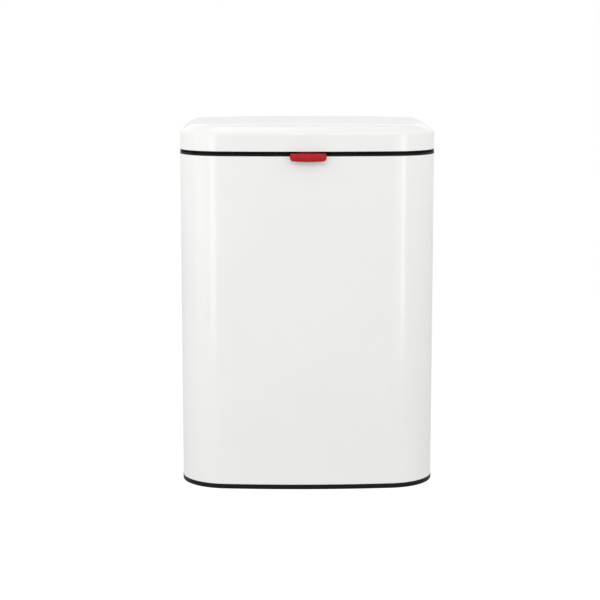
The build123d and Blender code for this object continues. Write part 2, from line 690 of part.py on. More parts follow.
NODES = {
    "wall_bracket": wall_bracket,
    "body_shell": body_shell,
    "base_tray": base_tray,
    "top_collar": top_collar,
    "hanger_plate_left": lambda: hanger_plate(-1),
    "hanger_plate_right": lambda: hanger_plate(1),
    "plate_rivets": plate_rivets,
    "wall_buffer_left": lambda: wall_buffer(-1),
    "wall_buffer_right": lambda: wall_buffer(1),
    "hinge_screws": lambda: panel_screws(SCREW_SPACING, SCREW_Z),
    "base_screws": lambda: panel_screws(BASE_SCREW_SPACING, BASE_SCREW_Z),
    "hinge_rod": hinge_rod,
    "rod_caps": rod_caps,
    "catch_wire": catch_wire,
    "lid_shell": lid_shell,
    "lid_frame": lid_frame,
    "lid_seal": lid_seal,
    "latch_pin": latch_pin,
    "latch_lever": latch_lever,
    "latch_spring": latch_spring,
    "bucket": bucket,
}

to_mount = Pos(0, -WALL_GAP, -HOLE_Z)
os.makedirs("parts", exist_ok=True)
for name, make in NODES.items():
    export_step(to_mount * make(), f"parts/{name}.step")
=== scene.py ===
# %% [markdown]
# This notebook dresses a wall-hung waste bin. The bin has a white enamelled steel body and lid, a black moulded
# collar and base, a red finger tab and a steel bracket on the wall. The solid model is drawn elsewhere and arrives
# as a fixed frame: its parts stay where they are, and this file gives them their finish, their light and the small
# pieces that a solid model is too coarse to show. Loading comes first, because everything else is measured from it.

# %% Load the frame
from math import cos, pi, radians, sin

import bpy
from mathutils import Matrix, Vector


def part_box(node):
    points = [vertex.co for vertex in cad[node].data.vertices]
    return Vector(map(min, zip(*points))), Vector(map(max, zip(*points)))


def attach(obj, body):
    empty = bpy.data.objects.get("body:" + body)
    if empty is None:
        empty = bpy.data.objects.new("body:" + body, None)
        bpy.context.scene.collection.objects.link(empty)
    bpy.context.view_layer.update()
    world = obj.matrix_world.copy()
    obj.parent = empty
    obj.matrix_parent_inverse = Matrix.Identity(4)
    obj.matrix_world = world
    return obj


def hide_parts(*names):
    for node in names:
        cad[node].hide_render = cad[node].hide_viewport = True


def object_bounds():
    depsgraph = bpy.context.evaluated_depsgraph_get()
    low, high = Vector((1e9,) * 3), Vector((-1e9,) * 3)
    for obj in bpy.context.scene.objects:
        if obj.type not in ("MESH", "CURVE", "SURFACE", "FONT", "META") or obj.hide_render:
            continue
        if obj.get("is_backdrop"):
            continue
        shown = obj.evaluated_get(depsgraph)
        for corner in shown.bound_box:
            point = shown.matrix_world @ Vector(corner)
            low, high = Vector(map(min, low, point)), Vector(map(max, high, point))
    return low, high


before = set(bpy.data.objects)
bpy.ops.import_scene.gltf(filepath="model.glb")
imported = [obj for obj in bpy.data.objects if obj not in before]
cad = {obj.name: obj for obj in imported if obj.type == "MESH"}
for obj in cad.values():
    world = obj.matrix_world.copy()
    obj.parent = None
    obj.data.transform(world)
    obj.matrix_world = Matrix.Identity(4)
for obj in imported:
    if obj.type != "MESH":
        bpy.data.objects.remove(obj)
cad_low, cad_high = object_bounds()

scene = bpy.context.scene
print("solid nodes:", len(cad), "box:", [round(v, 4) for v in (cad_high - cad_low)])

# %% [markdown]
# The picture to match looks at the front of the bin from a little above the lid, through a long lens. A long lens
# keeps the sides nearly parallel, as in a catalogue picture. The place and the lens were worked out by laying the
# corners of the solid over the same corners in the picture, so the camera is written as plain numbers.

# %% Camera
PICTURE_SIDE = 600
FOCAL_PIXELS = 1744.8
SENSOR_MM = 36
CAMERA_PLACE = (-0.03012, -1.90191, 0.14128)
CAMERA_PITCH = 8.974
CAMERA_YAW = 0.7456

lens = bpy.data.cameras.new("camera")
lens.sensor_width = SENSOR_MM
lens.lens = SENSOR_MM * FOCAL_PIXELS / PICTURE_SIDE
camera = bpy.data.objects.new("camera", lens)
camera.location = CAMERA_PLACE
camera.rotation_euler = (radians(90 - CAMERA_PITCH), 0, radians(-CAMERA_YAW))
scene.collection.objects.link(camera)
scene.camera = camera
scene.view_settings.view_transform = "Standard"
print("lens:", round(lens.lens, 2), "mm")

# %% [markdown]
# Catalogue light is soft and comes from nearly everywhere. The world gives an even base level. The Light Path node
# tells the rays that light a surface from those that the camera sees: directly or through glass the world is plain
# white, and in a glossy surface it is a pale paper grey, so that the rim of the white lid still shows.

# %% World
AMBIENT = 0.642
MIRRORED = 0.85


def link(tree, source, target):
    """Join two sockets of a node tree."""
    tree.links.new(source, target)


world = bpy.data.worlds.new("studio")
scene.world = world
world.use_nodes = True
sky = world.node_tree
sky.nodes.clear()
path = sky.nodes.new("ShaderNodeLightPath")
seen = sky.nodes.new("ShaderNodeMath")
seen.operation = "MAXIMUM"
mirror = sky.nodes.new("ShaderNodeMapRange")
mirror.inputs["To Min"].default_value = AMBIENT
mirror.inputs["To Max"].default_value = MIRRORED
strength = sky.nodes.new("ShaderNodeMapRange")
strength.inputs["To Max"].default_value = 1.0
paper = sky.nodes.new("ShaderNodeBackground")
paper.inputs["Color"].default_value = (1, 1, 1, 1)
sky_out = sky.nodes.new("ShaderNodeOutputWorld")
link(sky, path.outputs["Is Camera Ray"], seen.inputs[0])
link(sky, path.outputs["Is Transmission Ray"], seen.inputs[1])
link(sky, path.outputs["Is Glossy Ray"], mirror.inputs["Value"])
link(sky, seen.outputs[0], strength.inputs["Value"])
link(sky, mirror.outputs["Result"], strength.inputs["To Min"])
link(sky, strength.outputs["Result"], paper.inputs["Strength"])
link(sky, paper.outputs["Background"], sky_out.inputs["Surface"])
print("ambient level:", AMBIENT)

# %% [markdown]
# Softboxes shape the forms. On each side a narrow strip draws a bright upright line down the body where its corner
# turns, and a wider box beside it spreads a softer band around that line. Each of these four is made of two halves.
# The lower half is mirrored in the body and ends at the height of the lid, so the bands fade towards the bin's foot.
# The upper half lights the bin and isn't mirrored, because its image would glare in the lid's top when that is seen
# from behind. Three more boxes aren't mirrored for the same reason: a large one over the camera, and a small one
# close by on each side, above the lid, which makes the top brighter than the foot. One box lies behind the bin and
# outlines the lid's shoulder, and a small one above and behind it, on the left, lightens the left half of that
# shoulder. Each box is a rectangle of light turned towards the middle of the bin. Its power is written as a radiance,
# because that is what a glossy surface shows, and the watts follow from its area.

# %% Softboxes
AIM = Vector((0, -0.106, -0.14))


def softbox(name, azimuth, elevation, distance, wide, high, radiance, mirrored=True):
    """Rectangular lamp, placed by its direction as seen from the bin and turned towards it."""
    a, e = radians(azimuth), radians(elevation)
    way = Vector((sin(a) * cos(e), -cos(a) * cos(e), sin(e)))
    lamp = bpy.data.lights.new(name, "AREA")
    lamp.shape = "RECTANGLE"
    lamp.size, lamp.size_y = wide, high
    lamp.energy = radiance * wide * high * pi
    thing = bpy.data.objects.new(name, lamp)
    thing.location = AIM + way * distance
    thing.rotation_mode = "QUATERNION"
    thing.rotation_quaternion = (-way).to_track_quat("-Z", "Y")
    thing.visible_camera = False
    thing.visible_glossy = mirrored
    scene.collection.objects.link(thing)
    return thing


LOW_HALF = -1.5
HIGH_HALF = 16.5
SIDE_DISTANCE = 1.6
HALF_HEIGHT = 0.5
SIDE_BOXES = (
    ("strip_left", -38, 0.40, 2.2),
    ("strip_right", 41, 0.26, 2.4),
    ("band_left", -66, 1.0, 0.62),
    ("band_right", 33, 0.5, 1.0),
)
for name, azimuth, wide, radiance in SIDE_BOXES:
    softbox(name + "_low", azimuth, LOW_HALF, SIDE_DISTANCE, wide, HALF_HEIGHT, radiance)
    softbox(name + "_high", azimuth, HIGH_HALF, SIDE_DISTANCE, wide, HALF_HEIGHT, radiance, mirrored=False)
softbox("near_left", -75, 38, distance=0.9, wide=0.5, high=0.5, radiance=2.0, mirrored=False)
softbox("near_right", 75, 38, distance=0.9, wide=0.5, high=0.5, radiance=1.9, mirrored=False)
softbox("softbox_front", -8, 33, distance=2.1, wide=1.6, high=0.6, radiance=2.2, mirrored=False)
softbox("softbox_back", 180, 28, distance=1.8, wide=2.4, high=0.8, radiance=0.35)
softbox("softbox_top", -146, 71, distance=1.9, wide=0.6, high=0.55, radiance=1.0)

# %% [markdown]
# The bin hangs on a wall, so the floor lies well below it. It is plain and pale, and it keeps the bin's shadow. For
# the camera it gets a little light of its own on top of what falls on it, which lifts the bare floor to white and
# leaves the shadow a shade darker. In gloss it gets less of that light, so that the white front, which mirrors the
# floor when it is seen from high up, still stands out from the floor around it.

# %% Floor
FLOOR_DROP = 0.62
FLOOR_SIDE = 14.0
FLOOR_GLOW = 0.5
FLOOR_MIRRORED = 0.2

floor_mesh = bpy.data.meshes.new("floor")
half_side = FLOOR_SIDE / 2
floor_z = cad_low.z - FLOOR_DROP
corners = [(-half_side, -half_side, floor_z), (half_side, -half_side, floor_z)]
corners += [(half_side, half_side, floor_z), (-half_side, half_side, floor_z)]
floor_mesh.from_pydata(corners, [], [(0, 1, 2, 3)])
floor = bpy.data.objects.new("floor", floor_mesh)
scene.collection.objects.link(floor)
floor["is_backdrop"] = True

floor_paint = bpy.data.materials.new("floor_paint")
floor_paint.use_nodes = True
tree = floor_paint.node_tree
tree.nodes.clear()
path = tree.nodes.new("ShaderNodeLightPath")
mirror = tree.nodes.new("ShaderNodeMath")
mirror.operation = "MULTIPLY"
mirror.inputs[1].default_value = FLOOR_MIRRORED
lift = tree.nodes.new("ShaderNodeMath")
lift.operation = "MULTIPLY_ADD"
lift.inputs[1].default_value = FLOOR_GLOW
matt = tree.nodes.new("ShaderNodeBsdfDiffuse")
matt.inputs["Color"].default_value = (0.8, 0.8, 0.8, 1)
glow = tree.nodes.new("ShaderNodeEmission")
both = tree.nodes.new("ShaderNodeAddShader")
out = tree.nodes.new("ShaderNodeOutputMaterial")
link(tree, path.outputs["Is Glossy Ray"], mirror.inputs[0])
link(tree, path.outputs["Is Camera Ray"], lift.inputs[0])
link(tree, mirror.outputs[0], lift.inputs[2])
link(tree, lift.outputs[0], glow.inputs["Strength"])
link(tree, matt.outputs[0], both.inputs[0])
link(tree, glow.outputs[0], both.inputs[1])
link(tree, both.outputs[0], out.inputs["Surface"])
floor_mesh.materials.append(floor_paint)
print("floor at z:", round(floor_z, 3))

# %% [markdown]
# Several finishes need the same effects, so each effect is a small node group with named inputs and outputs. Wiring
# nodes by hand in a script is long-winded. One helper starts such a group and makes its sockets, one adds a Math node
# and one adds a smooth map from one range to another, and each takes either a socket or a number for its operands.

# %% Helpers for shader groups


def shader_group(name, inputs, outputs):
    """Empty shader group. inputs maps a name to its starting value; outputs maps a name to its socket type."""
    group = bpy.data.node_groups.new(name, "ShaderNodeTree")
    for label, value in inputs.items():
        socket = group.interface.new_socket(label, in_out="INPUT", socket_type="NodeSocketFloat")
        socket.default_value = value
    for label, kind in outputs.items():
        group.interface.new_socket(label, in_out="OUTPUT", socket_type=kind)
    return group, group.nodes.new("NodeGroupInput"), group.nodes.new("NodeGroupOutput")


def maths(tree, operation, first, second=None, clamp=False):
    """Math node. An operand is a socket or a number."""
    node = tree.nodes.new("ShaderNodeMath")
    node.operation = operation
    node.use_clamp = clamp
    for slot, value in ((0, first), (1, second)):
        if value is None:
            continue
        if isinstance(value, (int, float)):
            node.inputs[slot].default_value = value
        else:
            link(tree, value, node.inputs[slot])
    return node.outputs[0]


def ramp(tree, value, low, high, to_low=0.0, to_high=1.0):
    """Smooth map from one range to another."""
    node = tree.nodes.new("ShaderNodeMapRange")
    node.interpolation_type = "SMOOTHSTEP"
    for label, number in (("From Min", low), ("From Max", high), ("To Min", to_low), ("To Max", to_high)):
        if isinstance(number, (int, float)):
            node.inputs[label].default_value = number
        else:
            link(tree, number, node.inputs[label])
    link(tree, value, node.inputs["Value"])
    return node.outputs["Result"]


print("helpers: shader_group, maths, ramp")

# %% [markdown]
# The first group is a fine grain: a moulded or sprayed surface is never quite smooth, and up close that breaks up its
# shine. It puts out a height for a Bump node, a slow mottling between 0 and 1, and a patchy mask for places that are
# handled or wiped. Noise on Object coordinates gives all three, because it runs on round a corner without a seam. Its
# scale is one over the size of a spot, so the sizes are given in metres.

# %% Grain group
grain, given, made = shader_group(
    "grain",
    {"Grain Size": 0.001, "Patch Size": 0.05},
    {"Height": "NodeSocketFloat", "Mottle": "NodeSocketFloat", "Patches": "NodeSocketFloat"},
)
place = grain.nodes.new("ShaderNodeTexCoord")
fine = grain.nodes.new("ShaderNodeTexNoise")
fine.inputs["Detail"].default_value = 3
fine.inputs["Roughness"].default_value = 0.55
slow = grain.nodes.new("ShaderNodeTexNoise")
slow.inputs["Detail"].default_value = 5
patch = grain.nodes.new("ShaderNodeTexNoise")
patch.inputs["Detail"].default_value = 8
patch.inputs["Roughness"].default_value = 0.65
patch.inputs["Distortion"].default_value = 0.4
for node in (fine, slow, patch):
    link(grain, place.outputs["Object"], node.inputs["Vector"])
link(grain, maths(grain, "DIVIDE", 1.0, given.outputs["Grain Size"]), fine.inputs["Scale"])
link(grain, maths(grain, "DIVIDE", 1.0, given.outputs["Patch Size"]), slow.inputs["Scale"])
link(grain, maths(grain, "DIVIDE", 2.3, given.outputs["Patch Size"]), patch.inputs["Scale"])
link(grain, fine.outputs["Fac"], made.inputs["Height"])
link(grain, ramp(grain, slow.outputs["Fac"], 0.3, 0.7), made.inputs["Mottle"])
link(grain, ramp(grain, patch.outputs["Fac"], 0.56, 0.72), made.inputs["Patches"])
print("group:", grain.name, [s.name for s in grain.interface.items_tree])

# %% [markdown]
# Edges are touched, rubbed and polished before flat faces are. The Bevel node looks a short way round each point and
# gives the direction the surface would have if its edges were rounded off. Where that differs from the real direction
# there is an edge, and a noise breaks the edge line up so that it doesn't look drawn. The group puts out how much of
# an edge each point is. Most finishes use it for worn edges, and the white enamel uses it for painted shade along its
# edges.

# %% Edge wear and shade group
edge_wear_and_shade, given, made = shader_group(
    "edge_wear_and_shade",
    {"Reach": 0.001, "Amount": 1.0, "Break Up": 0.006},
    {"Wear And Shade": "NodeSocketFloat"},
)
rounded = edge_wear_and_shade.nodes.new("ShaderNodeBevel")
rounded.samples = 4
surface = edge_wear_and_shade.nodes.new("ShaderNodeNewGeometry")
turn = edge_wear_and_shade.nodes.new("ShaderNodeVectorMath")
turn.operation = "DOT_PRODUCT"
place = edge_wear_and_shade.nodes.new("ShaderNodeTexCoord")
chips = edge_wear_and_shade.nodes.new("ShaderNodeTexNoise")
chips.inputs["Detail"].default_value = 6
link(edge_wear_and_shade, given.outputs["Reach"], rounded.inputs["Radius"])
link(edge_wear_and_shade, rounded.outputs["Normal"], turn.inputs[0])
link(edge_wear_and_shade, surface.outputs["Normal"], turn.inputs[1])
link(edge_wear_and_shade, place.outputs["Object"], chips.inputs["Vector"])
link(edge_wear_and_shade, maths(edge_wear_and_shade, "DIVIDE", 1.0, given.outputs["Break Up"]), chips.inputs["Scale"])
bend = maths(edge_wear_and_shade, "SUBTRACT", 1.0, turn.outputs["Value"])
edge = ramp(edge_wear_and_shade, bend, 0.02, 0.16)
broken = maths(edge_wear_and_shade, "MULTIPLY", edge, ramp(edge_wear_and_shade, chips.outputs["Fac"], 0.42, 0.62))
link(edge_wear_and_shade, maths(edge_wear_and_shade, "MULTIPLY", broken, given.outputs["Amount"]), made.inputs["Wear And Shade"])
print("group:", edge_wear_and_shade.name)

# %% [markdown]
# A helper starts each finish: an empty material with a Principled shader, and the two groups placed in it with the
# finish's own values. Whatever is the same all over a surface is written on the shader's own sockets. Only what
# changes over the surface is linked.

# %% Helpers for finishes


def finish(name, **plain):
    """New material with its Principled shader. plain holds the shader's constant values."""
    paint = bpy.data.materials.new(name)
    paint.use_nodes = True
    tree = paint.node_tree
    tree.nodes.clear()
    shader = tree.nodes.new("ShaderNodeBsdfPrincipled")
    out = tree.nodes.new("ShaderNodeOutputMaterial")
    link(tree, shader.outputs["BSDF"], out.inputs["Surface"])
    for label, value in plain.items():
        shader.inputs[label.replace("_", " ")].default_value = value
    return paint, tree, shader


def place_group(tree, group, **values):
    """Shader group placed in a material with its own values."""
    node = tree.nodes.new("ShaderNodeGroup")
    node.node_tree = group
    for label, value in values.items():
        node.inputs[label.replace("_", " ")].default_value = value
    return node


def blend_colours(tree, mask, first, second):
    """Colour between two, by a mask. A colour is a socket or three numbers."""
    node = tree.nodes.new("ShaderNodeMix")
    node.data_type = "RGBA"
    link(tree, mask, node.inputs[0])
    for slot, colour in ((6, first), (7, second)):
        if isinstance(colour, tuple):
            node.inputs[slot].default_value = (*colour, 1)
        else:
            link(tree, colour, node.inputs[slot])
    return node.outputs[2]


def bump(tree, shader, height, strength, depth):
    """Bump from a height socket, given in metres of depth, into the shader's normal."""
    node = tree.nodes.new("ShaderNodeBump")
    node.inputs["Strength"].default_value = strength
    node.inputs["Distance"].default_value = depth
    link(tree, height, node.inputs["Height"])
    link(tree, node.outputs["Normal"], shader.inputs["Normal"])


print("helpers: finish, place_group, blend_colours, bump")

# %% [markdown]
# White enamel covers the body and the lid. It is sprayed on sheet steel and baked, so it is thick, hard and glossy,
# with a faint orange-peel ripple about a millimetre across and a colour that drifts very slightly from place to
# place. A few wiped patches are a touch less shiny. The tint is a hair warmer than pure white. Along its edges the
# colour is painted a darker warm grey, which is painted shade.

# %% White enamel
white_enamel, tree, shader = finish("white_enamel", IOR=1.5, Specular_IOR_Level=0.5)
skin = place_group(tree, grain, Grain_Size=0.0016, Patch_Size=0.11)
edges = place_group(tree, edge_wear_and_shade, Reach=0.0003, Amount=0.5, Break_Up=0.004)
drift = blend_colours(tree, skin.outputs["Mottle"], (0.800, 0.800, 0.786), (0.815, 0.815, 0.803))
# Painted shade: the edge mask darkens the white enamel to a warm grey along its edges.
worn_and_shaded = blend_colours(tree, edges.outputs["Wear And Shade"], drift, (0.74, 0.735, 0.715))
link(tree, worn_and_shaded, shader.inputs["Base Color"])
link(tree, ramp(tree, skin.outputs["Patches"], 0, 1, 0.17, 0.21), shader.inputs["Roughness"])
bump(tree, shader, skin.outputs["Height"], 0.05, 0.00005)
print("finish:", white_enamel.name)

# %% [markdown]
# The collar, the base and the lid's frame are moulded in black polypropylene. The mould is lightly sandblasted, so
# the plastic has a fine even grain and a low sheen. Its edges are rubbed a little greyer.

# %% Black plastic
black_plastic, tree, shader = finish("black_plastic", IOR=1.49, Specular_IOR_Level=0.14)
skin = place_group(tree, grain, Grain_Size=0.0005, Patch_Size=0.03)
edges = place_group(tree, edge_wear_and_shade, Reach=0.0006, Amount=0.35, Break_Up=0.002)
drift = blend_colours(tree, skin.outputs["Mottle"], (0.0035, 0.0035, 0.0037), (0.006, 0.006, 0.0062))
worn_and_shaded = blend_colours(tree, edges.outputs["Wear And Shade"], drift, (0.03, 0.03, 0.03))
link(tree, worn_and_shaded, shader.inputs["Base Color"])
link(tree, ramp(tree, skin.outputs["Patches"], 0, 1, 0.46, 0.58), shader.inputs["Roughness"])
bump(tree, shader, skin.outputs["Height"], 0.25, 0.00006)
print("finish:", black_plastic.name)

# %% [markdown]
# The finger tab is moulded in red ABS, smoother than the black parts because fingers should slide on it. A soft gloss
# runs over its top, and the colour drifts a little from place to place.

# %% Red plastic
red_plastic, tree, shader = finish("red_plastic", IOR=1.5, Specular_IOR_Level=0.2)
skin = place_group(tree, grain, Grain_Size=0.0007, Patch_Size=0.016)
edges = place_group(tree, edge_wear_and_shade, Reach=0.0008, Amount=0.6, Break_Up=0.002)
drift = blend_colours(tree, skin.outputs["Mottle"], (0.35, 0.006, 0.010), (0.38, 0.007, 0.012))
worn_and_shaded = blend_colours(tree, edges.outputs["Wear And Shade"], drift, (0.50, 0.03, 0.035))
link(tree, worn_and_shaded, shader.inputs["Base Color"])
link(tree, ramp(tree, skin.outputs["Patches"], 0, 1, 0.30, 0.38), shader.inputs["Roughness"])
bump(tree, shader, skin.outputs["Height"], 0.1, 0.00005)
print("finish:", red_plastic.name)

# %% [markdown]
# The inner bucket is grey polypropylene, moulded with a duller skin than the red tab. Buckets get scuffed by what is
# thrown in, so its patches are larger and rougher.

# %% Grey plastic
grey_plastic, tree, shader = finish("grey_plastic", IOR=1.49, Specular_IOR_Level=0.35)
skin = place_group(tree, grain, Grain_Size=0.0009, Patch_Size=0.07)
edges = place_group(tree, edge_wear_and_shade, Reach=0.0012, Amount=0.5, Break_Up=0.003)
drift = blend_colours(tree, skin.outputs["Mottle"], (0.105, 0.108, 0.112), (0.125, 0.128, 0.132))
worn_and_shaded = blend_colours(tree, edges.outputs["Wear And Shade"], drift, (0.21, 0.213, 0.216))
link(tree, worn_and_shaded, shader.inputs["Base Color"])
link(tree, ramp(tree, skin.outputs["Patches"], 0, 1, 0.42, 0.60), shader.inputs["Roughness"])
bump(tree, shader, skin.outputs["Height"], 0.2, 0.00008)
print("finish:", grey_plastic.name)

# %% [markdown]
# The seal and the wall buffers are black rubber: duller than the plastic, with a dusty bloom in patches.

# %% Black rubber
black_rubber, tree, shader = finish("black_rubber", IOR=1.52, Specular_IOR_Level=0.25)
skin = place_group(tree, grain, Grain_Size=0.0006, Patch_Size=0.02)
drift = blend_colours(tree, skin.outputs["Mottle"], (0.012, 0.012, 0.012), (0.017, 0.017, 0.017))
dusty = blend_colours(tree, skin.outputs["Patches"], drift, (0.035, 0.034, 0.033))
link(tree, dusty, shader.inputs["Base Color"])
link(tree, ramp(tree, skin.outputs["Mottle"], 0, 1, 0.68, 0.82), shader.inputs["Roughness"])
bump(tree, shader, skin.outputs["Height"], 0.35, 0.00008)
print("finish:", black_rubber.name)

# %% [markdown]
# The bracket, the stiffeners and the rod's caps are zinc-plated steel. Plating dries in crystals a few millimetres
# wide, each tilted a little differently, so neighbouring ones shine unequally. A Voronoi texture gives such cells,
# and its colour per cell drives the tone and the roughness.

# %% Zinc-plated steel
CRYSTALS_PER_METRE = 260

zinc_steel, tree, shader = finish("zinc_steel", Metallic=1.0)
skin = place_group(tree, grain, Grain_Size=0.0004, Patch_Size=0.02)
edges = place_group(tree, edge_wear_and_shade, Reach=0.0008, Amount=0.8, Break_Up=0.002)
where = tree.nodes.new("ShaderNodeTexCoord")
crystals = tree.nodes.new("ShaderNodeTexVoronoi")
crystals.inputs["Scale"].default_value = CRYSTALS_PER_METRE
link(tree, where.outputs["Object"], crystals.inputs["Vector"])
cell = tree.nodes.new("ShaderNodeSeparateColor")
link(tree, crystals.outputs["Color"], cell.inputs[0])
drift = blend_colours(tree, cell.outputs[0], (0.50, 0.51, 0.52), (0.63, 0.64, 0.65))
worn_and_shaded = blend_colours(tree, edges.outputs["Wear And Shade"], drift, (0.74, 0.74, 0.74))
link(tree, worn_and_shaded, shader.inputs["Base Color"])
link(tree, ramp(tree, cell.outputs[1], 0, 1, 0.30, 0.44), shader.inputs["Roughness"])
bump(tree, shader, skin.outputs["Height"], 0.12, 0.00004)
print("finish:", zinc_steel.name)

# %% [markdown]
# Screws, rivets, the hinge rod and the latch pin are bright nickel-plated steel. They are turned or headed, which
# leaves fine lines, and handled, which leaves a few dull prints.

# %% Bright steel
bright_steel, tree, shader = finish("bright_steel", Metallic=1.0)
skin = place_group(tree, grain, Grain_Size=0.0003, Patch_Size=0.008)
edges = place_group(tree, edge_wear_and_shade, Reach=0.0004, Amount=0.7, Break_Up=0.001)
drift = blend_colours(tree, skin.outputs["Mottle"], (0.60, 0.60, 0.59), (0.68, 0.675, 0.66))
worn_and_shaded = blend_colours(tree, edges.outputs["Wear And Shade"], drift, (0.80, 0.79, 0.77))
link(tree, worn_and_shaded, shader.inputs["Base Color"])
link(tree, ramp(tree, skin.outputs["Patches"], 0, 1, 0.20, 0.34), shader.inputs["Roughness"])
bump(tree, shader, skin.outputs["Height"], 0.1, 0.00003)
print("finish:", bright_steel.name)

# %% [markdown]
# The catch wire and the leaf spring are hardened steel, which keeps a darker, slightly blue skin from its heat
# treatment.

# %% Spring steel
spring_steel, tree, shader = finish("spring_steel", Metallic=1.0)
skin = place_group(tree, grain, Grain_Size=0.0003, Patch_Size=0.006)
drift = blend_colours(tree, skin.outputs["Mottle"], (0.30, 0.32, 0.36), (0.38, 0.38, 0.40))
link(tree, drift, shader.inputs["Base Color"])
link(tree, ramp(tree, skin.outputs["Patches"], 0, 1, 0.26, 0.38), shader.inputs["Roughness"])
bump(tree, shader, skin.outputs["Height"], 0.1, 0.00003)
print("finish:", spring_steel.name)

# %% [markdown]
# Every solid part now gets the finish of its real counterpart. The record that came with the solids already names a
# material slot for each, and the finishes above carry the same names, so the pairing is one short table.

# %% Dress the solid parts
FINISH_OF = {
    "wall_bracket": zinc_steel,
    "hanger_plate_left": zinc_steel,
    "hanger_plate_right": zinc_steel,
    "rod_caps": zinc_steel,
    "body_shell": white_enamel,
    "lid_shell": white_enamel,
    "base_tray": black_plastic,
    "top_collar": black_plastic,
    "lid_frame": black_plastic,
    "plate_rivets": bright_steel,
    "hinge_screws": bright_steel,
    "base_screws": bright_steel,
    "hinge_rod": bright_steel,
    "latch_pin": bright_steel,
    "wall_buffer_left": black_rubber,
    "wall_buffer_right": black_rubber,
    "lid_seal": black_rubber,
    "catch_wire": spring_steel,
    "latch_spring": spring_steel,
    "latch_lever": red_plastic,
    "bucket": grey_plastic,
}
for name, paint in FINISH_OF.items():
    for number in range(len(cad[name].material_slots)):
        cad[name].material_slots[number].material = paint
print("dressed:", len(FINISH_OF), "of", len(cad))

# %% [markdown]
# Rivets, weld spots and rubber buffers are all round, and each comes in a row of equal copies. A Geometry Nodes tree
# suits that: one grid is bent round into a turned form, as on a lathe, and a copy of it goes to every point of a
# small mesh. Two curves on the tree give the turned form's radius and height along its outline, from the middle of
# its back face to the middle of its front face. Walking the outline in that direction turns the faces outwards. The
# points of the grid that land on the turned form's axis are merged, which closes its two ends.

# %% Tree for turned parts
MERGE_DISTANCE = 0.000005


def node_maths(tree, operation, first, second):
    """Math node of a Geometry Nodes tree. An operand is a socket or a number."""
    node = tree.nodes.new("ShaderNodeMath")
    node.operation = operation
    for slot, value in ((0, first), (1, second)):
        if isinstance(value, (int, float)):
            node.inputs[slot].default_value = value
        else:
            tree.links.new(value, node.inputs[slot])
    return node.outputs[0]


def outline_curve(tree, along, values):
    """Float Curve through (place, value) points with straight runs between them."""
    node = tree.nodes.new("ShaderNodeFloatCurve")
    curve = node.mapping.curves[0]
    for place, value in values[1:-1]:
        curve.points.new(place, value)
    curve.points[0].location = values[0]
    curve.points[-1].location = values[-1]
    for point in curve.points:
        point.handle_type = "VECTOR"
    node.mapping.update()
    tree.links.new(along, node.inputs["Value"])
    return node.outputs["Value"]


def turned_tree(name, outline, paint):
    """Tree that puts a turned part on every point. outline has (place, radius, height), each between 0 and 1."""
    tree = bpy.data.node_groups.new(name, "GeometryNodeTree")
    face = tree.interface
    face.new_socket("Geometry", in_out="INPUT", socket_type="NodeSocketGeometry")
    for label, start in (("Radius", 0.004), ("Depth", 0.004), ("Sunk", 0.002)):
        face.new_socket(label, in_out="INPUT", socket_type="NodeSocketFloat").default_value = start
    for label, start in (("Sides", 24), ("Rings", 24)):
        face.new_socket(label, in_out="INPUT", socket_type="NodeSocketInt").default_value = start
    face.new_socket("Geometry", in_out="OUTPUT", socket_type="NodeSocketGeometry")
    given = tree.nodes.new("NodeGroupInput")
    made = tree.nodes.new("NodeGroupOutput")
    grid = tree.nodes.new("GeometryNodeMeshGrid")
    grid.inputs["Size X"].default_value = 1
    grid.inputs["Size Y"].default_value = 1
    tree.links.new(node_maths(tree, "ADD", given.outputs["Sides"], 1), grid.inputs["Vertices X"])
    tree.links.new(given.outputs["Rings"], grid.inputs["Vertices Y"])
    where = tree.nodes.new("GeometryNodeInputPosition")
    parts = tree.nodes.new("ShaderNodeSeparateXYZ")
    tree.links.new(where.outputs[0], parts.inputs[0])
    angle = node_maths(tree, "MULTIPLY", node_maths(tree, "ADD", parts.outputs["X"], 0.5), 2 * pi)
    along = node_maths(tree, "ADD", parts.outputs["Y"], 0.5)
    reach = outline_curve(tree, along, [(a, r) for a, r, h in outline])
    rise = outline_curve(tree, along, [(a, h) for a, r, h in outline])
    reach = node_maths(tree, "MULTIPLY", reach, given.outputs["Radius"])
    rise = node_maths(tree, "MULTIPLY", rise, given.outputs["Depth"])
    rise = node_maths(tree, "SUBTRACT", rise, given.outputs["Sunk"])
    spot = tree.nodes.new("ShaderNodeCombineXYZ")
    tree.links.new(node_maths(tree, "MULTIPLY", reach, node_maths(tree, "COSINE", angle, 0)), spot.inputs["X"])
    tree.links.new(node_maths(tree, "MULTIPLY", reach, node_maths(tree, "SINE", angle, 0)), spot.inputs["Y"])
    tree.links.new(rise, spot.inputs["Z"])
    turn = tree.nodes.new("GeometryNodeSetPosition")
    tree.links.new(grid.outputs["Mesh"], turn.inputs["Geometry"])
    tree.links.new(spot.outputs[0], turn.inputs["Position"])
    close = tree.nodes.new("GeometryNodeMergeByDistance")
    close.inputs["Distance"].default_value = MERGE_DISTANCE
    tree.links.new(turn.outputs[0], close.inputs["Geometry"])
    copies = tree.nodes.new("GeometryNodeInstanceOnPoints")
    copies.inputs["Rotation"].default_value = (-pi / 2, 0, 0)
    tree.links.new(given.outputs["Geometry"], copies.inputs["Points"])
    tree.links.new(close.outputs[0], copies.inputs["Instance"])
    real = tree.nodes.new("GeometryNodeRealizeInstances")
    tree.links.new(copies.outputs[0], real.inputs[0])
    coat = tree.nodes.new("GeometryNodeSetMaterial")
    coat.inputs["Material"].default_value = paint
    tree.links.new(real.outputs[0], coat.inputs["Geometry"])
    tree.links.new(coat.outputs[0], made.inputs["Geometry"])
    return tree


print("helpers: node_maths, outline_curve, turned_tree")

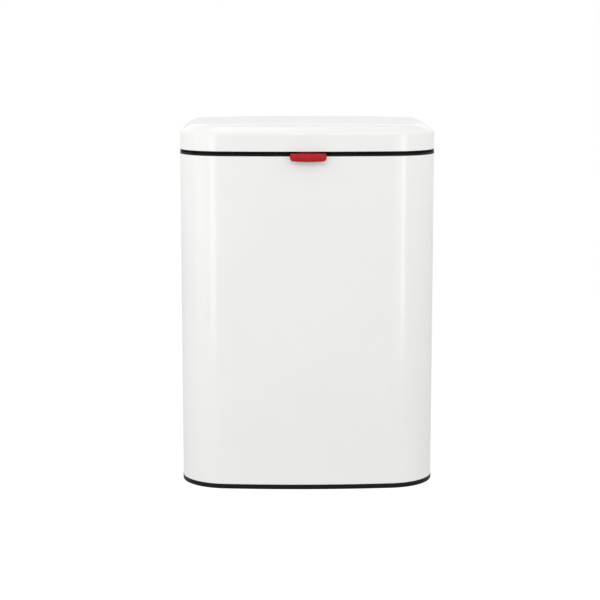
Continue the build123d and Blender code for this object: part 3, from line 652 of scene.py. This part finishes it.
# %% [markdown]
# A row is grown on a mesh that is nothing but points, one for each part. The tree's sizes are set by the sockets'
# identifiers before the object is first evaluated. The grown result is then kept as a plain mesh, so the modifier has
# done its work and goes. All these parts sit on the body's back panel, which lies as far in front of the wall as the
# buffers reach.

# %% Helper that grows a row of turned parts
BUFFER_REACH = 0.014
SMOOTH_BELOW = 35
BACK_PANEL = cad_high.y - BUFFER_REACH


def turned_row(name, tree, places, **sizes):
    """Object with a turned part at each place, as one plain mesh. sizes names the tree's inputs."""
    points = bpy.data.meshes.new(name)
    points.from_pydata(places, [], [])
    thing = bpy.data.objects.new(name, points)
    scene.collection.objects.link(thing)
    grower = thing.modifiers.new("turned", "NODES")
    grower.node_group = tree
    for item in tree.interface.items_tree:
        if item.in_out == "INPUT" and item.name in sizes:
            grower[item.identifier] = sizes[item.name]
    graph = bpy.context.evaluated_depsgraph_get()
    ready = thing.evaluated_get(graph)
    grown = bpy.data.meshes.new_from_object(ready, preserve_all_data_layers=True, depsgraph=graph)
    thing.modifiers.clear()
    thing.data = grown
    grown.shade_smooth()
    grown.set_sharp_from_angle(angle=radians(SMOOTH_BELOW))
    print(name, "copies:", len(places), "faces:", len(grown.polygons))
    return thing


print("back panel at y:", round(BACK_PANEL, 4))

# %% [markdown]
# Four rivets hold the two slot stiffeners to the back panel. On the outside they have a low domed head, and inside
# the tail is set to a flatter, smaller button. The solid rivets are plain discs, so turned ones stand in for them.

# %% Rivets
RIVET_NEAR = 0.0264
RIVET_FAR = 0.0636
RIVET_OUTLINE = [
    (0.00, 0.00, 0.00),
    (0.12, 0.55, 0.02),
    (0.20, 0.76, 0.10),
    (0.25, 0.79, 0.20),
    (0.29, 0.78, 0.255),
    (0.32, 0.53, 0.255),
    (0.45, 0.53, 0.744),
    (0.48, 0.97, 0.744),
    (0.52, 1.00, 0.77),
    (0.60, 0.93, 0.85),
    (0.70, 0.76, 0.92),
    (0.84, 0.42, 0.98),
    (1.00, 0.00, 1.00),
]
rivet_low, rivet_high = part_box("plate_rivets")
rivet_z = (rivet_low.z + rivet_high.z) / 2
rivet_tree = turned_tree("rivet_tree", RIVET_OUTLINE, bright_steel)
rivets = turned_row(
    "rivets",
    rivet_tree,
    [(x, BACK_PANEL, rivet_z) for x in (-RIVET_FAR, -RIVET_NEAR, RIVET_NEAR, RIVET_FAR)],
    Radius=0.0038,
    Depth=0.0047,
    Sunk=0.0035,
    Sides=32,
    Rings=48,
)
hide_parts("plate_rivets")
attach(rivets, "bin")

# %% [markdown]
# The body is one sheet bent round until its ends overlap at the middle of the back, where a row of spot welds joins
# them. Each weld leaves a shallow dish with a raised rim, and the enamel covers it. The row runs at an even pitch
# from just above the base to just below the collar.

# %% Weld spots
WELD_COUNT = 13
WELD_MARGIN = 0.012
WELD_OUTLINE = [
    (0.00, 0.00, 0.00),
    (0.20, 1.00, 0.00),
    (0.35, 1.00, 0.60),
    (0.50, 0.90, 0.92),
    (0.58, 0.80, 1.00),
    (0.66, 0.70, 0.92),
    (0.80, 0.52, 0.72),
    (1.00, 0.00, 0.68),
]
body_low, body_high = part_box("body_shell")
weld_step = (body_high.z - body_low.z - 2 * WELD_MARGIN) / (WELD_COUNT - 1)
weld_tree = turned_tree("weld_tree", WELD_OUTLINE, white_enamel)
welds = turned_row(
    "weld_spots",
    weld_tree,
    [(0, BACK_PANEL, body_low.z + WELD_MARGIN + i * weld_step) for i in range(WELD_COUNT)],
    Radius=0.0026,
    Depth=0.0005,
    Sunk=0.0003,
    Sides=28,
    Rings=30,
)
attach(welds, "bin")

# %% [markdown]
# Two rubber buffers keep the bin level on the wall. A real one is moulded with ridges that let it give a little, and
# with a barb that snaps through a hole in the panel. The outline is ribbed here, inside the plain cone of the solid
# part.

# %% Wall buffers
BUFFER_OUTLINE = [
    (0.00, 0.00, 0.00),
    (0.10, 0.36, 0.00),
    (0.20, 0.55, 0.168),
    (0.24, 0.40, 0.168),
    (0.28, 0.40, 0.215),
    (0.34, 0.98, 0.216),
    (0.38, 0.99, 0.26),
    (0.42, 0.90, 0.30),
    (0.46, 0.90, 0.36),
    (0.50, 0.95, 0.40),
    (0.54, 0.95, 0.45),
    (0.58, 0.86, 0.49),
    (0.62, 0.86, 0.55),
    (0.66, 0.91, 0.59),
    (0.70, 0.91, 0.64),
    (0.74, 0.82, 0.68),
    (0.78, 0.82, 0.74),
    (0.82, 0.87, 0.78),
    (0.86, 0.84, 0.95),
    (0.90, 0.78, 1.00),
    (0.95, 0.40, 1.00),
    (0.97, 0.34, 0.97),
    (1.00, 0.00, 0.97),
]
buffer_places = []
for side in ("left", "right"):
    low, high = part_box(f"wall_buffer_{side}")
    buffer_places.append(((low.x + high.x) / 2, BACK_PANEL, (low.z + high.z) / 2))
buffer_tree = turned_tree("buffer_tree", BUFFER_OUTLINE, black_rubber)
buffers = turned_row(
    "wall_buffers",
    buffer_tree,
    buffer_places,
    Radius=0.010,
    Depth=0.0178,
    Sunk=0.0038,
    Sides=48,
    Rings=101,
)
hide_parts("wall_buffer_left", "wall_buffer_right")
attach(buffers, "bin")

# %% [markdown]
# Last, the size of the dressed bin is printed beside the size of the solid model, so the two can be compared.

# %% Sizes
low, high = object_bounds()
print("visual box:", [round(v, 4) for v in (high - low)])
